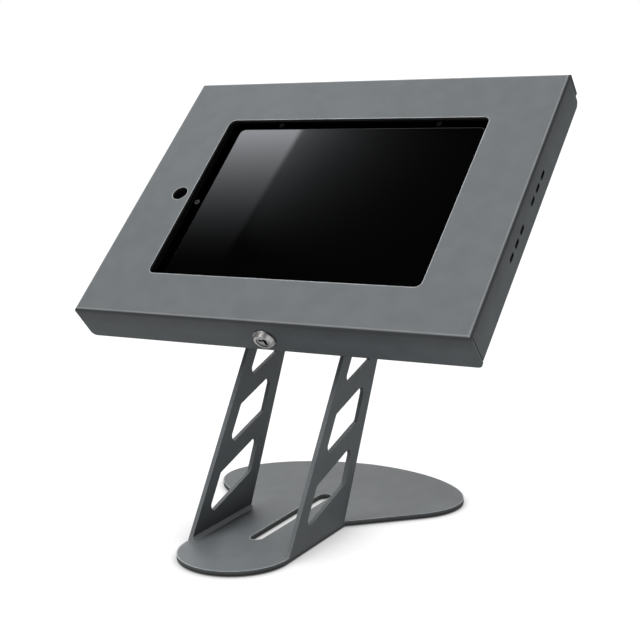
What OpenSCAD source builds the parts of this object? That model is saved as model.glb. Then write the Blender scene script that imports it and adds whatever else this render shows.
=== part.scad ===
// Lockable tablet kiosk stand: a folded steel stand carries a reclined enclosure.
// The front cover swings up on a piano hinge along its top edge and is held by a cam lock below.
// Millimetres, +Z up, the front faces -Y, the stand is symmetric about X = 0.
// The origin lies under the middle of the whole object, on the table.

/* [Front cover] */
// Width of the cover
cover_w = 302; // [270:1:330]
// Height of the cover along its sloping face
cover_h = 228; // [215:0.5:245]
// Thickness of the cover's sheet steel
cover_t = 2; // [1.5:0.1:2.5]
// Inner radius of the cover's bends
cover_bend_r = 0.4; // [0.2:0.1:2]
// Depth of the bottom flange, measured from the face
bottom_flange_d = 29.5; // [27:0.5:34]
// Depth of the side flanges
side_flange_d = 25.5; // [20:0.5:28]
// Depth of the top flange
top_flange_d = 18.5; // [16:0.5:20]
// Radius of the upper rear corner of each side flange
side_corner_r = 5; // [2:0.5:8]
// Radius of the rear corners of the bottom flange
bottom_corner_r = 4; // [2:0.5:8]
// Width of the open seam where two flanges meet
seam_w = 0.6; // [0.3:0.1:1]

/* [Window] */
// Width of the window
window_w = 211; // [190:1:214]
// Height of the window
window_h = 150.7; // [130:0.1:156]
// Corner radius of the window
window_r = 5; // [2:0.5:10]
// Height of the window's middle above the cover's bottom edge
window_mid = 111.5; // [108:0.5:116]
// Diameter of the camera hole beside the window
camera_hole_d = 12; // [6:0.5:14]
// Distance of the camera hole from the middle of the cover
camera_hole_u = 115.3; // [114:0.1:120]

/* [Sound slots] */
// Length of one sound slot in the right flange
slot_len = 7; // [4:0.1:8]
// Width of one sound slot
slot_wide = 2.4; // [1.2:0.1:3]
// Distance between neighbouring slots of a group
slot_pitch = 11.6; // [9:0.1:13]
// Distance between the middles of the two slot groups
slot_group_pitch = 48; // [42:0.5:54]
// Slots in one group
slots_per_group = 3; // [2:1:3]
// Depth of the slots behind the face
slot_depth = 13.2; // [11:0.1:17]
// Distance of the slots' middle below the window's middle
slot_drop = 1.5; // [0:0.1:4]

/* [Pose of the enclosure] */
// Slope of the face above the table, in degrees
face_slope = 40; // [37:0.5:42]
// Height of the face's bottom edge above the base plate's underside
face_z = 145; // [138:0.5:155]
// Distance of the face's bottom edge behind the front foot of the legs
face_y = 37.3; // [33:0.1:42]

/* [Rear tray] */
// Thickness of the tray's sheet steel
tray_t = 1.5; // [1:0.1:2]
// Depth of the tray's rear surface behind the face
tray_back_d = 29.3; // [28:0.1:34]
// Depth of the front edge of the tray's walls behind the face
tray_front_d = 3.5; // [3.2:0.1:6]
// Gap between the tray's side walls and the cover
tray_side_gap = 0.5; // [0.3:0.1:1]
// Gap under the tray, which the bottom flange needs to swing past it
tray_bottom_gap = 1.2; // [1:0.1:2]
// Diameter of the cable hole in the tray
cable_hole_d = 22; // [16:0.5:30]
// Height of the cable hole above the cover's bottom edge
cable_hole_v = 60; // [45:1:80]

/* [Stand] */
// Thickness of the stand's sheet steel
stand_t = 3; // [2:0.1:4]
// Size of the fillet weld along the inside of each foot
weld_w = 2.2; // [1.5:0.1:2.4]
// Distance between the outer faces of the two legs
legs_w = 78.2; // [70:0.2:90]
// Length of a leg's foot along the base
leg_foot = 71.7; // [64:0.1:80]
// Backward lean of the legs' front edges, in mm for each mm of height
lean_front = 0.72; // [0.7:0.01:0.76]
// Backward lean of the legs' rear edges, in mm for each mm of height
lean_rear = 0.56; // [0.5:0.01:0.58]
// Reach of the top plate, which the enclosure is bolted to, past each leg
plate_reach = 25; // [22:0.5:30]
// Reach of the top plate past the front and rear edges of the legs
plate_edge = 2; // [1:0.5:5]
// Corner radius of the top plate
plate_r = 5; // [2:0.5:8]
// Depth of the rounded tongue in front of the legs
tongue_d = 35.7; // [28:0.1:45]
// Width of the broad rear end of the base
lobe_w = 190.7; // [170:0.1:210]
// Distance from the legs' front foot to the widest place of the rear end
lobe_y = 137.2; // [130:0.1:145]
// Depth of the rear end behind its widest place
lobe_d = 55.9; // [45:0.1:65]
// Half width at which the straight shoulder starts to turn into the rear end
shoulder_x = 80; // [75:0.5:84]
// Distance of that place behind the legs' front foot
shoulder_y = 108.1; // [104:0.1:112]
// Straight edge of the base behind each leg's foot
foot_margin = 2.8; // [2:0.1:4]
// Width of the long slot in the base
base_slot_w = 9.1; // [8:0.1:15]
// Distance of the slot's front end behind the legs' front foot
base_slot_y = 21; // [15:0.5:30]
// Length of the slot
base_slot_len = 98; // [80:1:115]

/* [Leg openings] */
// Openings in each leg
cut_count = 4; // [1:1:4]
// Slope of the ribs between the openings, in degrees
cut_slope = 16.5; // [12:0.5:20]
// Height of one opening
cut_h = 20.5; // [14:0.5:22]
// Height of the rib between two openings
rib_h = 11.4; // [10:0.1:16]
// Height of the lowest opening's lower edge, drawn forward to the legs' front foot
cut_z = 6.2; // [5:0.1:9]
// Web left between the openings and the edges of the leg
cut_web = 10; // [8:0.1:13]
// Corner radius of the openings
cut_r = 3.5; // [2:0.1:4]

/* [Foot pads] */
// Thickness of the rubber pads under the base
pad_t = 1; // [0.6:0.1:3]
// Diameter of a pad
pad_d = 18; // [12:0.5:24]
// Distance of the pads' rims from the edge of the base
pad_inset = 4; // [2:0.5:10]

/* [Hinge] */
// Outer diameter of the hinge's knuckles
barrel_d = 5; // [4.6:0.1:6]
// Diameter of the hinge pin
hinge_pin_d = 2.4; // [2:0.1:2.6]
// Thickness of the hinge leaves
leaf_t = 1; // [0.8:0.1:1.1]
// Reach of the leaves in front of the pin
leaf_w = 12; // [10:0.5:13]
// Length of the hinge
hinge_len = 280; // [240:2:280]
// Number of knuckles
knuckles = 14; // [8:2:20]
// Diameter of the hinge rivets
rivet_d = 3; // [2:0.1:3.5]

/* [Lock] */
// Diameter of the lock's head on the cover
lock_head_d = 16; // [15:0.5:20]
// Diameter of the head's front rim
lock_rim_d = 12.6; // [12:0.1:13.5]
// Height of the head below the bottom flange
lock_head_h = 4; // [3:0.1:7]
// Diameter of the lock's barrel
lock_barrel_d = 12; // [11.5:0.1:12.6]
// Length of the barrel above the underside of the bottom flange
lock_barrel_len = 17; // [15:0.5:18]
// Diameter of the turning plug
plug_d = 9; // [8:0.1:9.4]
// Depth of the lock's axis behind the face
lock_depth = 16.5; // [16:0.1:17]
// Reach of the cam from the lock's axis
cam_reach = 10.8; // [9.6:0.1:10.8]
// Width of the cam's arm
cam_w = 7; // [6:0.1:7.4]
// Thickness of the cam
cam_t = 2; // [1.5:0.1:2.5]
// Size of the lock nut across its flats
nut_af = 15; // [14:0.5:16]
// Thickness of the lock nut
nut_t = 4; // [3:0.5:5]

/* [Tablet] */
// Length of the tablet
tablet_w = 220; // [216:1:224]
// Width of the tablet
tablet_h = 170; // [164:1:176]
// Thickness of the tablet
tablet_t = 7.2; // [6:0.1:8.5]
// Corner radius of the tablet
tablet_r = 10; // [6:0.5:14]
// Length of the lit area of its display
display_w = 199; // [190:1:204]
// Width of the lit area of its display
display_h = 148; // [140:1:152]
// Corner radius of the lit area of its display
display_r = 4; // [2:0.5:7]
// Depth of the tablet's glass behind the face of the cover
glass_d = 9; // [7:0.1:10]
// Thickness of the glass
glass_t = 0.8; // [0.6:0.1:1.2]
// Diameter of the tablet's camera lens
lens_d = 4.2; // [3:0.1:5]
// Travel of the tablet's buttons
button_travel = 0.3; // [0.2:0.05:0.4]

/* [Fasteners] */
// Thread diameter of the screws that hold the enclosure
screw_d = 5; // [4:0.5:6]
// Distance between the screws across the stand
screws_u = 104; // [98:1:108]
// Distance between the screws along the flange
screws_v = 72; // [60:1:78]

/* [Clearances] */
// Radial running clearance of the hinge pin and the lock plug
run_gap = 0.05; // [0.03:0.01:0.08]
// Radial clearance of rivets and screws in their holes
hole_gap = 0.1; // [0.05:0.05:0.3]
// Gap between pieces that move past each other
move_gap = 0.4; // [0.3:0.05:0.6]
// Gap between the tablet and the foam around it
foam_gap = 0.2; // [0.1:0.05:0.5]

/* [Hidden] */
$fn = 64;

// Extra length of cutting tools past the faces they cut
over = 1;

// Outer bend radii
cover_outer_r = cover_bend_r + cover_t;
tray_bend_r = 1;
tray_outer_r = tray_bend_r + tray_t;

// Enclosure: the hinge lies behind the top flange, and the tray starts below the hinge
hinge_v = cover_h - cover_t - barrel_d / 2;
hinge_d = top_flange_d + barrel_d / 2 + move_gap;
tray_top = cover_h - cover_t - barrel_d;
tray_bottom = cover_t + tray_bottom_gap;
tray_w = cover_w - 2 * (cover_t + tray_side_gap);
tray_h = tray_top - tray_bottom;
tray_mid = (tray_top + tray_bottom) / 2;
tray_floor_d = tray_back_d - tray_t;
tablet_back_d = glass_d + tablet_t;

// Legs: where their edges meet the rear of the tray, as heights along the face
back_y = face_y + tray_back_d * sin(face_slope);
back_z = face_z - tray_back_d * cos(face_slope);
leg_top_front = along_back(0, lean_front);
leg_top_rear = along_back(leg_foot, lean_rear);
leg_x = legs_w / 2;

// Top plate, welded onto the legs: its ends as heights along the face
plate_front = leg_top_front - edge_shift(lean_front, stand_t) - plate_edge;
plate_rear = leg_top_rear - edge_shift(lean_rear, stand_t) + plate_edge;
plate_mid = (plate_front + plate_rear) / 2;

// Extent of the whole object from front to rear, which puts the origin under its middle
front_y = -tongue_d;
rear_y = face_y + max(
    hinge_v * cos(face_slope) + hinge_d * sin(face_slope) + barrel_d / 2,
    (tray_top - tray_outer_r) * cos(face_slope) + (tray_back_d - tray_outer_r) * sin(face_slope)
        + tray_outer_r
);
origin_y = (front_y + max(rear_y, lobe_y + lobe_d)) / 2;

// Rear lobe: power of its oval outline
lobe_power = 1.88;

// Length that reaches past every end of a leg
leg_reach = 2 * (face_z + cover_h);

// Fasteners between the stand and the tray
washer_t = 1;
washer_d = 2 * screw_d;
screw_head_h = 0.6 * screw_d;
screw_head_d = 1.8 * screw_d;
mount_nut_t = 0.8 * screw_d;
mount_nut_d = 1.9 * screw_d;
rivet_head_h = 0.7;

// Foam: lap of the corner blocks along the tablet's edges, and the pads behind it
foam_lap = 34;
back_foam_w = 30;
back_foam_r = 4;
back_foam_inset = 29;
back_foam_u = tablet_w / 2 - back_foam_inset;
back_foam_v = tablet_h / 2 - back_foam_inset;
gasket_edge = 1.5;
gasket_w = 18;

// Grommet: width of its lips past the hole and into it, and their thickness
grommet_lip = 2.5;
grommet_lip_t = 1.5;

// Middle of the sound slots and the opening in the tray's wall behind them
slot_mid = window_mid - slot_drop;
sound_opening_h = 10;
sound_opening_r = 2;
sound_margin = 2;

// Hinge knuckles and the row of rivets in front of them
knuckle_pitch = hinge_len / knuckles;
rivet_row_d = hinge_d - 0.6 * leaf_w;

// Lock
lock_washer_t = 0.8;
lock_washer_d = lock_barrel_d + 4;
lock_flange_t = 1.2;
lock_step = 0.5;
plug_recess = 0.6;
key_depth = lock_head_h + 3;
key_w = 1.4;
key_len = 5.2;
key_side = 1.9;
key_arm_w = 0.8;
tail_w = 6;
cam_hub_d = 11;
cam_z = lock_barrel_len + move_gap / 2;
cam_screw_d = 3;
cam_screw_len = 6;
cam_head_d = 8;
cam_head_h = 1.8;
cam_recess_w = 1;

// Keeper: a bent strip on the tray whose lip the cam turns behind
keeper_t = 1.5;
keeper_foot = 16;
keeper_w = 8;
keeper_v = cam_z + cam_t / 2 - keeper_w / 2;
keeper_lip_u = cam_hub_d / 2 + 2 * move_gap;
keeper_in_u = cam_reach + 4 * move_gap;
keeper_lip_d = lock_depth - cam_w / 2 - move_gap;
keeper_rivets_u = [for (share = [0.3, 0.75]) keeper_in_u + keeper_t + share * keeper_foot];
keeper_rivet_v = keeper_v + keeper_w / 2;

// Tablet
shell_wall = 1;
shell_chamfer = 2;
shell_layer = 0.01;
button_w = 2.4;
button_proud = 0.6;
button_body = 1.6;
power_len = 10;
power_v = 40;
volume_len = 22;
volume_u = 45;
lens_u = (tablet_w + display_w) / 4;
display_t = 0.6;

// Colours
steel_grey = "#62676b";
nickel = "#b9babb";
rubber_black = "#1b1c1d";
foam_black = "#222325";
glass_black = "#0b0c0e";

// Height along the tray's rear surface where a leaning edge meets it
function along_back(foot, lean) =
    (foot + lean * back_z - back_y) / (cos(face_slope) - lean * sin(face_slope));

// Side view point (y, z) on the tray's rear surface at a height along the face
function back_point(v, d = 0) = [
    back_y + v * cos(face_slope) + d * sin(face_slope),
    back_z + v * sin(face_slope) - d * cos(face_slope)
];

// Points of a round corner of radius r at the middle one of three points
function corner_arc(a, b, c, r, steps = 6) =
    let (
        p = (a - b) / norm(a - b),
        q = (c - b) / norm(c - b),
        half = acos(p * q) / 2,
        mid = (p + q) / norm(p + q),
        centre = b + mid * r / sin(half),
        from = b + p * r / tan(half) - centre,
        to = b + q * r / tan(half) - centre
    )
    [for (i = [0:steps]) let (s = from * (steps - i) + to * i) centre + r * s / norm(s)];

// Outline with every corner rounded
function rounded(pts, r) =
    let (n = len(pts))
    [for (i = [0:n - 1]) each corner_arc(pts[(i + n - 1) % n], pts[i], pts[(i + 1) % n], r)];

// Quarter of an oval from the end of its x axis to the end of its y axis
function oval_quarter(rx, ry, power = 2, steps = 24) = [
    for (i = [0:steps])
        let (a = 90 * i / steps)
        [rx * pow(cos(a), 2 / power), ry * pow(sin(a), 2 / power)]
];

// Smooth turn from a to c that leaves and arrives along the lines to b
function turn(a, b, c, steps = 10) =
    [for (i = [0:steps]) let (t = i / steps) (1 - t) * (1 - t) * a + 2 * t * (1 - t) * b + t * t * c];

// Placing

// Stand frame: y from the legs' front foot, z from the underside of the base
module in_place() {
    translate([0, -origin_y, pad_t]) children();
}

// Face frame: x across, y up the face from its bottom edge, z out of the face
module on_face() {
    in_place() translate([0, face_y, face_z]) rotate([face_slope, 0, 0]) children();
}

// Hinge frame: x along the pin
module on_hinge() {
    on_face() translate([0, hinge_v, -hinge_d]) children();
}

// Lock frame: z along the barrel into the enclosure, y towards the rear of the tray
module on_lock() {
    on_face() translate([0, 0, -lock_depth]) rotate([-90, 0, 0]) children();
}

// The four screw places on the rear of the tray, z out of its rear surface towards the stand
module at_screws() {
    on_face()
        for (su = [-1, 1], sv = [-1, 1])
            translate([su * screws_u / 2, plate_mid + sv * screws_v / 2, -tray_back_d])
                rotate([180, 0, 0]) children();
}

// Shared shapes

// Rectangle with round corners, about its middle
module round_rect(w, h, r) {
    square([w - 2 * r, h], center = true);
    square([w, h - 2 * r], center = true);
    for (sx = [-1, 1], sy = [-1, 1]) translate([sx * (w / 2 - r), sy * (h / 2 - r)]) circle(r);
}

// Slot with round ends along x, about its middle
module round_slot(length, wide) {
    square([length - wide, wide], center = true);
    for (s = [-1, 1]) translate([s * (length - wide) / 2, 0]) circle(d = wide);
}

// Section of a pan whose face is at y = 0 and whose face edges are round
module pan_section(length, depth, r) {
    translate([-length / 2, -depth]) square([length, depth - r]);
    translate([-length / 2 + r, -depth]) square([length - 2 * r, depth]);
    for (s = [-1, 1]) translate([s * (length / 2 - r), -r]) circle(r);
}

// Block with its face at z = 0 and round face edges
module pan_block(w, h, depth, r) {
    intersection() {
        rotate([90, 0, 0]) linear_extrude(h, center = true) pan_section(w, depth, r);
        rotate([90, 0, 90]) linear_extrude(w, center = true) pan_section(h, depth, r);
    }
}

// Pan of folded sheet, open at the rear
module pan(w, h, depth, t, inner_r) {
    difference() {
        pan_block(w, h, depth, inner_r + t);
        translate([0, 0, -t]) pan_block(w - 2 * t, h - 2 * t, depth, inner_r);
    }
}

// Tool that rounds an outer corner at the origin, for material on the -x and -y sides
module corner_tool(r) {
    difference() {
        translate([-r, -r]) square(r + over);
        translate([-r, -r]) circle(r);
    }
}

// Ring of a washer or knuckle standing on z = 0
module ring(outer_d, inner_d, h) {
    difference() {
        cylinder(d = outer_d, h = h);
        translate([0, 0, -over]) cylinder(d = inner_d, h = h + 2 * over);
    }
}

// Low domed rivet head standing on z = 0
module rivet_head(d) {
    head_d = 1.9 * d;
    cylinder(d1 = head_d, d2 = 1.2 * d, h = rivet_head_h);
}

// Rivet through a stack that spans z = 0 to z = grip, with a head at each end
module rivet(d, grip) {
    cylinder(d = d - 2 * hole_gap, h = grip);
    translate([0, 0, grip]) rivet_head(d);
    mirror([0, 0, 1]) rivet_head(d);
}

// Stand

// Where the straight shoulder, drawn on, meets the widest line of the rear end
function shoulder_knee() =
    let (slope = (shoulder_y - leg_foot - foot_margin) / (shoulder_x - leg_x))
    [lobe_w / 2, shoulder_y + slope * (lobe_w / 2 - shoulder_x)];

// Rear quarter moved to its place behind the widest line
function lobe_quarter() =
    [for (p = oval_quarter(lobe_w / 2, lobe_d, lobe_power)) [p[0], lobe_y + p[1]]];

// Front quarter of the tongue, from its tip to the leg
function tongue_quarter() =
    [for (p = oval_quarter(leg_x, tongue_d)) [p[0], -p[1]]];

function reversed(pts) = [for (i = [len(pts) - 1:-1:0]) pts[i]];
function mirrored(pts) = [for (p = pts) [-p[0], p[1]]];

// Outline of the base as seen from above
module base_outline() {
    half = concat(
        reversed(tongue_quarter()),
        [[leg_x, leg_foot + foot_margin]],
        turn([shoulder_x, shoulder_y], shoulder_knee(), [lobe_w / 2, lobe_y]),
        lobe_quarter()
    );
    polygon(concat(half, reversed(mirrored(half))));
}

// Base plate with its slot
module base_plate() {
    linear_extrude(stand_t) difference() {
        base_outline();
        translate([0, base_slot_y + base_slot_len / 2]) rotate(90) round_slot(base_slot_len, base_slot_w);
    }
}

// Side view of a leg, from below its foot into the middle of the top plate
function leg_outline() = [
    [-lean_front * over, -over],
    [leg_foot - lean_rear * over, -over],
    back_point(leg_top_rear - edge_shift(lean_rear, stand_t / 2), stand_t / 2),
    back_point(leg_top_front - edge_shift(lean_front, stand_t / 2), stand_t / 2)
];

// How far a leaning edge moves along the face over a depth below the tray
function edge_shift(lean, depth) = depth / tan(atan(1 / lean) - face_slope);

// Side view of one opening: its ends follow the leg's edges, its ribs slope
function cut_outline(k) =
    let (
        low = cut_z + k * (cut_h + rib_h),
        front_in = cut_web * norm([1, lean_front]),
        rear_in = leg_foot - cut_web * norm([1, lean_rear])
    ) [
        rib_point(front_in, lean_front, low),
        rib_point(rear_in, lean_rear, low),
        rib_point(rear_in, lean_rear, low + cut_h),
        rib_point(front_in, lean_front, low + cut_h)
    ];

// Where a leaning line meets a sloping rib line
function rib_point(foot, lean, z0) =
    let (z = (z0 + foot * tan(cut_slope)) / (1 - lean * tan(cut_slope)))
    [foot + lean * z, z];

// Section of the right leg across the stand, from the middle of the base plate up, with its weld
module leg_section() {
    translate([leg_x - stand_t, stand_t / 2]) square([stand_t, leg_reach]);
    translate([leg_x - stand_t, stand_t]) polygon([
        [-weld_w, -stand_t / 2],
        [stand_t / 2, -stand_t / 2],
        [stand_t / 2, weld_w],
        [0, weld_w],
        [-weld_w, 0]
    ]);
}

// Right leg with its openings
module leg() {
    intersection() {
        translate([0, leg_reach, 0]) rotate([90, 0, 0]) linear_extrude(2 * leg_reach) leg_section();
        rotate([90, 0, 90]) linear_extrude(leg_x + over) difference() {
            polygon(leg_outline());
            for (k = [0:cut_count - 1]) polygon(rounded(cut_outline(k), cut_r));
        }
    }
}

// Plate on top of the legs, flat against the rear of the tray
module top_plate() {
    translate([0, back_y, back_z]) rotate([face_slope, 0, 0]) translate([0, plate_mid, -stand_t])
        linear_extrude(stand_t) difference() {
            round_rect(legs_w + 2 * plate_reach, plate_rear - plate_front, plate_r);
            for (su = [-1, 1], sv = [-1, 1])
                translate([su * screws_u / 2, sv * screws_v / 2]) circle(d = screw_d + 2 * hole_gap);
        }
}

// Base plate with the two legs and the top plate welded on
module stand_frame() {
    color(steel_grey) in_place() {
        base_plate();
        for (s = [0, 1]) mirror([s, 0, 0]) leg();
        top_plate();
    }
}

// Rubber pads under the tongue and around the rear end
module foot_pads() {
    side_x = lobe_w / 2 - pad_inset - pad_d / 2;
    places = [
        [0, -tongue_d + pad_inset + pad_d / 2],
        [-side_x, lobe_y],
        [side_x, lobe_y],
        [0, lobe_y + lobe_d - pad_inset - pad_d / 2]
    ];
    color(rubber_black) in_place()
        for (p = places) translate([p[0], p[1], -pad_t]) cylinder(d = pad_d, h = pad_t);
}

// Button-head screws with a hexagon socket
module mount_screws() {
    socket = 0.6 * screw_d;
    under_head = stand_t + washer_t;
    color(nickel) at_screws() {
        translate([0, 0, under_head]) difference() {
            cylinder(d1 = screw_head_d, d2 = 0.6 * screw_head_d, h = screw_head_h);
            translate([0, 0, screw_head_h / 3]) cylinder(d = socket, h = screw_head_h, $fn = 6);
        }
        translate([0, 0, -tray_t - mount_nut_t]) cylinder(d = screw_d, h = under_head + tray_t + mount_nut_t);
    }
}

module mount_washers() {
    color(nickel) at_screws() translate([0, 0, stand_t]) ring(washer_d, screw_d + 2 * hole_gap, washer_t);
}

// Press-in nuts on the inside of the tray
module mount_nuts() {
    color(nickel) at_screws() translate([0, 0, -tray_t - mount_nut_t])
        ring(mount_nut_d, screw_d + 2 * run_gap, mount_nut_t);
}

// Rear tray

module rear_tray() {
    color(steel_grey) on_face() difference() {
        translate([0, tray_mid, -tray_back_d]) mirror([0, 0, 1])
            pan(tray_w, tray_h, tray_back_d - tray_front_d, tray_t, tray_bend_r);
        lock_notch();
        sound_opening();
        translate([0, cable_hole_v, -tray_back_d - over]) cylinder(d = cable_hole_d, h = tray_t + 2 * over);
        for (su = [-1, 1], sv = [-1, 1])
            translate([su * screws_u / 2, plate_mid + sv * screws_v / 2, -tray_back_d - over])
                cylinder(d = screw_d + 2 * hole_gap, h = tray_t + 2 * over);
        for (u = tray_rivet_places()) translate([u, tray_top - tray_t - over, -rivet_row_d])
            rotate([-90, 0, 0]) cylinder(d = rivet_d, h = tray_t + 2 * over);
        for (u = keeper_rivets_u) translate([u, keeper_rivet_v, -tray_back_d - over])
            cylinder(d = rivet_d, h = tray_t + 2 * over);
    }
}

// Room in the tray's bottom wall for the lock's nut, open to the front
module lock_notch() {
    half = nut_af / sqrt(3) + 2 * move_gap;
    translate([0, tray_bottom - over, -lock_depth]) rotate([-90, 0, 0]) {
        cylinder(r = half, h = tray_t + 2 * over);
        translate([-half, -lock_depth, 0]) cube([2 * half, lock_depth, tray_t + 2 * over]);
    }
}

// Opening in the tray's right wall behind the sound slots
module sound_opening() {
    tall = slot_group_pitch + (slots_per_group - 1) * slot_pitch + slot_len + 2 * sound_margin;
    translate([tray_w / 2 - tray_t - over, slot_mid, -slot_depth]) rotate([90, 0, 90])
        linear_extrude(tray_t + 2 * over) round_rect(tall, sound_opening_h, sound_opening_r);
}

// L-shaped foam blocks that hold the tablet's corners
module corner_foam() {
    in_w = tray_w / 2 - tray_t;
    low = tray_bottom + tray_t + tray_bend_r;
    high = tray_top - tray_t - tray_bend_r;
    depth = tray_floor_d - glass_d - glass_t;
    half_w = tablet_w / 2 + foam_gap;
    half_h = tablet_h / 2 + foam_gap;
    color(foam_black) on_face() translate([0, 0, -tray_floor_d]) linear_extrude(depth)
        for (s = [-1, 1]) mirror([s < 0 ? 1 : 0, 0]) difference() {
            for (top = [0, 1])
                translate([tablet_w / 2 - foam_lap, top == 1 ? window_mid + tablet_h / 2 - foam_lap : low])
                    square([
                        in_w - tray_bend_r - tablet_w / 2 + foam_lap,
                        top == 1
                            ? high - window_mid - tablet_h / 2 + foam_lap
                            : window_mid - tablet_h / 2 + foam_lap - low
                    ]);
            translate([0, window_mid]) square([2 * half_w, 2 * half_h], center = true);
        }
}

// Foam pads between the tablet and the tray
module back_foam() {
    color(foam_black) on_face()
        for (su = [-1, 1], sv = [-1, 1])
            translate([su * back_foam_u, window_mid + sv * back_foam_v, -tray_floor_d])
                linear_extrude(tray_floor_d - tablet_back_d)
                    round_rect(back_foam_w, back_foam_w, back_foam_r);
}

// Rubber grommet that lines the cable hole
module cable_grommet() {
    lip_d = cable_hole_d + 2 * grommet_lip;
    bore_d = cable_hole_d - 2 * grommet_lip;
    bore_h = tray_t + 2 * grommet_lip_t;
    color(rubber_black) on_face() translate([0, cable_hole_v, -tray_back_d]) difference() {
        union() {
            translate([0, 0, -grommet_lip_t]) cylinder(d = lip_d, h = grommet_lip_t);
            cylinder(d = cable_hole_d - 2 * hole_gap, h = tray_t);
            translate([0, 0, tray_t]) cylinder(d = lip_d, h = grommet_lip_t);
        }
        translate([0, 0, -grommet_lip_t - over]) cylinder(d = bore_d, h = bore_h + 2 * over);
    }
}

// Bent strip on the tray whose lip the cam turns behind
module lock_keeper() {
    color(nickel) on_face() difference() {
        translate([0, keeper_v + keeper_w, 0]) rotate([90, 0, 0]) linear_extrude(keeper_w) {
            translate([keeper_lip_u, -keeper_lip_d])
                square([keeper_in_u + keeper_t - keeper_lip_u, keeper_t]);
            translate([keeper_in_u, -tray_floor_d])
                square([keeper_t, tray_floor_d - keeper_lip_d + keeper_t]);
            translate([keeper_in_u, -tray_floor_d]) square([keeper_t + keeper_foot, keeper_t]);
        }
        for (u = keeper_rivets_u) translate([u, keeper_rivet_v, -tray_floor_d - over])
            cylinder(d = rivet_d, h = keeper_t + 2 * over);
    }
}

module keeper_rivets() {
    color(nickel) on_face()
        for (u = keeper_rivets_u) translate([u, keeper_rivet_v, -tray_back_d])
            rivet(rivet_d, tray_t + keeper_t);
}

// Front cover

module front_cover() {
    color(steel_grey) on_face() difference() {
        translate([0, cover_h / 2, 0]) pan(cover_w, cover_h, bottom_flange_d, cover_t, cover_bend_r);
        translate([0, window_mid, -cover_t - over]) linear_extrude(cover_t + 2 * over)
            round_rect(window_w, window_h, window_r);
        translate([-camera_hole_u, window_mid, -cover_t - over])
            cylinder(d = camera_hole_d, h = cover_t + 2 * over);
        translate([0, -over, -lock_depth]) rotate([-90, 0, 0])
            cylinder(d = lock_barrel_d + 2 * hole_gap, h = cover_t + 2 * over);
        sound_slots();
        for (s = [0, 1]) mirror([s, 0, 0]) side_flange_cuts();
        translate([-cover_w / 2 - over, cover_h - cover_t - over, -bottom_flange_d - over])
            cube([cover_w + 2 * over, cover_t + 2 * over, bottom_flange_d - top_flange_d + over]);
        for (u = cover_rivet_places()) translate([u, cover_h - cover_t - over, -rivet_row_d])
            rotate([-90, 0, 0]) cylinder(d = rivet_d, h = cover_t + 2 * over);
    }
}

// Two groups of slots in the right flange
module sound_slots() {
    for (g = [-1, 1], i = [0:slots_per_group - 1])
        translate([
            cover_w / 2 - cover_t - over,
            slot_mid + g * slot_group_pitch / 2 + (i - (slots_per_group - 1) / 2) * slot_pitch,
            -slot_depth
        ])
            rotate([90, 0, 90]) linear_extrude(cover_t + 2 * over) round_slot(slot_len, slot_wide);
}

// Seams, depth and round corner of the right flange, and the bottom flange's round corner
module side_flange_cuts() {
    in_u = cover_w / 2 - cover_outer_r;
    flange_top = cover_h - cover_t - seam_w;
    depth = bottom_flange_d + over;
    translate([in_u, cover_t, -depth]) cube([cover_outer_r + over, seam_w, depth - cover_outer_r]);
    translate([in_u, flange_top, -depth]) cube([cover_outer_r + over, seam_w, depth - cover_outer_r]);
    translate([in_u, cover_t, -depth])
        cube([cover_outer_r + over, flange_top - cover_t, depth - side_flange_d]);
    translate([in_u, flange_top, -side_flange_d]) rotate([90, 0, 90]) linear_extrude(cover_outer_r + over)
        mirror([0, 1]) corner_tool(side_corner_r);
    translate([cover_w / 2, cover_t + over, -bottom_flange_d]) rotate([90, 0, 0])
        linear_extrude(cover_t + 2 * over) mirror([0, 1]) corner_tool(bottom_corner_r);
}

// Foam frame between the cover and the tablet's glass
module window_gasket() {
    depth = glass_d - cover_t - move_gap;
    outer = gasket_edge + gasket_w;
    color(foam_black) on_face() translate([0, window_mid, -cover_t - depth])
    linear_extrude(depth) difference() {
        round_rect(window_w + 2 * outer, window_h + 2 * outer, window_r + outer);
        round_rect(window_w + 2 * gasket_edge, window_h + 2 * gasket_edge, window_r + gasket_edge);
        translate([-camera_hole_u, 0]) circle(d = camera_hole_d);
    }
}

// Hinge

// Rivets sit beside each leaf's own knuckles
function cover_rivet_places() = [for (i = [1:2:knuckles - 1]) (i + 0.5) * knuckle_pitch - hinge_len / 2];
function tray_rivet_places() = [for (i = [0:2:knuckles - 1]) (i + 0.5) * knuckle_pitch - hinge_len / 2];

// Leaf that lies above the pin's level, with every second knuckle from the given one
module hinge_leaf(first) {
    root = barrel_d / 2 + move_gap;
    rise = barrel_d / 2 - leaf_t;
    difference() {
        union() {
            translate([-hinge_len / 2, rise, root]) cube([hinge_len, leaf_t, leaf_w - root]);
            for (i = [first:2:knuckles - 1])
                translate([i * knuckle_pitch - hinge_len / 2 + move_gap / 2, 0, 0]) {
                    translate([0, rise, 0]) cube([knuckle_pitch - move_gap, leaf_t, root + leaf_t]);
                    rotate([0, 90, 0]) cylinder(d = barrel_d, h = knuckle_pitch - move_gap);
                }
        }
        translate([-hinge_len / 2 - over, 0, 0]) rotate([0, 90, 0])
            cylinder(d = hinge_pin_d + 2 * run_gap, h = hinge_len + 2 * over);
        for (i = [first:2:knuckles - 1])
            translate([(i + 0.5) * knuckle_pitch - hinge_len / 2, rise - over, hinge_d - rivet_row_d])
                rotate([-90, 0, 0]) cylinder(d = rivet_d, h = leaf_t + 2 * over);
    }
}

module cover_hinge_leaf() {
    color(nickel) on_hinge() hinge_leaf(1);
}

module tray_hinge_leaf() {
    color(nickel) on_hinge() mirror([0, 1, 0]) hinge_leaf(0);
}

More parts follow.
